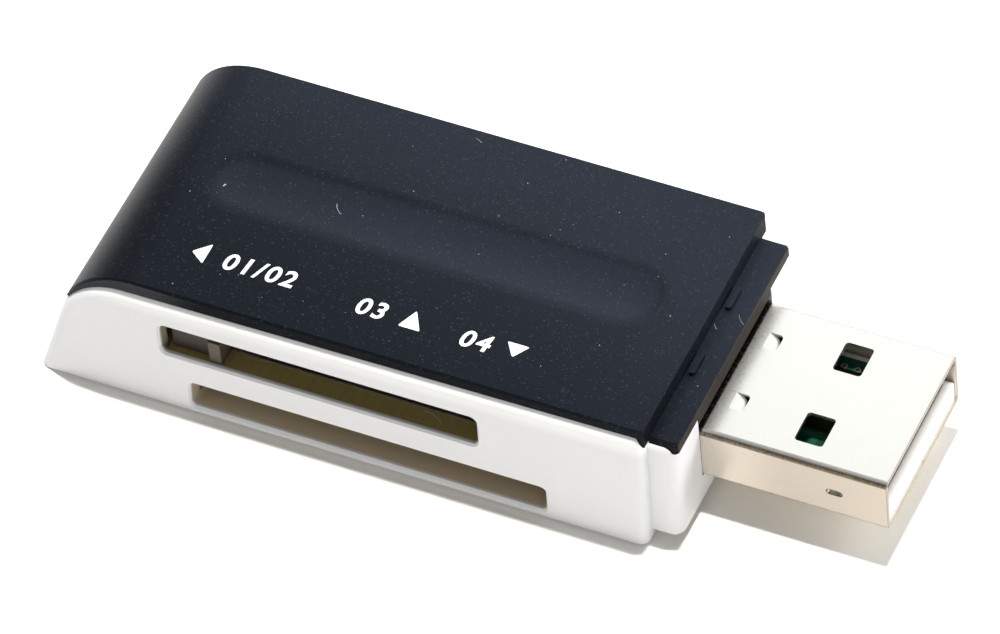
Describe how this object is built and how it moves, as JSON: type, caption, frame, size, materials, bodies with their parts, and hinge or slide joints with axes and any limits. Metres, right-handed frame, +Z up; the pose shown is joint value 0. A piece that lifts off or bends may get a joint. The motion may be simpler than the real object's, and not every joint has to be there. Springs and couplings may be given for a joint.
{
  "type": "usb memory card reader",
  "caption": "Pocket card reader with a raked body, a dark recessed top cover, long card slots along one side, small rear card slots and a sheet-metal plug with contact tongue.",
  "frame": {"origin": "centre of the bounding box on the surface the reader lies on", "axes": "+X along the length and out of the plug, -Y out of the side with the two long card slots, +Z up through the dark cover"},
  "size_m": [0.0595, 0.0218, 0.0108],
  "materials": {
    "housing_white": "satin moulded plastic",
    "cover_black": "fine textured plastic",
    "plated_sheet": "nickel plated",
    "carrier_white": "moulded plastic",
    "contact_gold": "gold plated",
    "board_green": "coated circuit board",
    "socket_black": "moulded plastic",
    "frame_beige": "moulded plastic",
    "socket_steel": "stamped sheet",
    "lead_tin": "tin plated",
    "capacitor_tan": "ceramic"
  },
  "bodies": {
    "root": {"bottom_housing": "housing_white", "top_cover": "cover_black", "plug_shell": "plated_sheet", "plug_carrier": "carrier_white", "plug_contacts": "contact_gold", "main_board": "board_green", "wide_card_block": "socket_black", "wide_card_contacts": "contact_gold", "narrow_card_frame": "frame_beige", "narrow_card_contacts": "contact_gold", "narrow_card_guide": "socket_steel", "narrow_card_lid": "socket_steel", "lower_socket_base": "socket_black", "lower_socket_shell": "socket_steel", "lower_socket_contacts": "contact_gold", "upper_socket_base": "socket_black", "upper_socket_shell": "socket_steel", "upper_socket_contacts": "contact_gold", "controller_chip": "socket_black", "controller_leads": "lead_tin", "crystal": "lead_tin", "capacitors": "capacitor_tan", "resistors": "socket_black"}
  },
  "joints": []
}
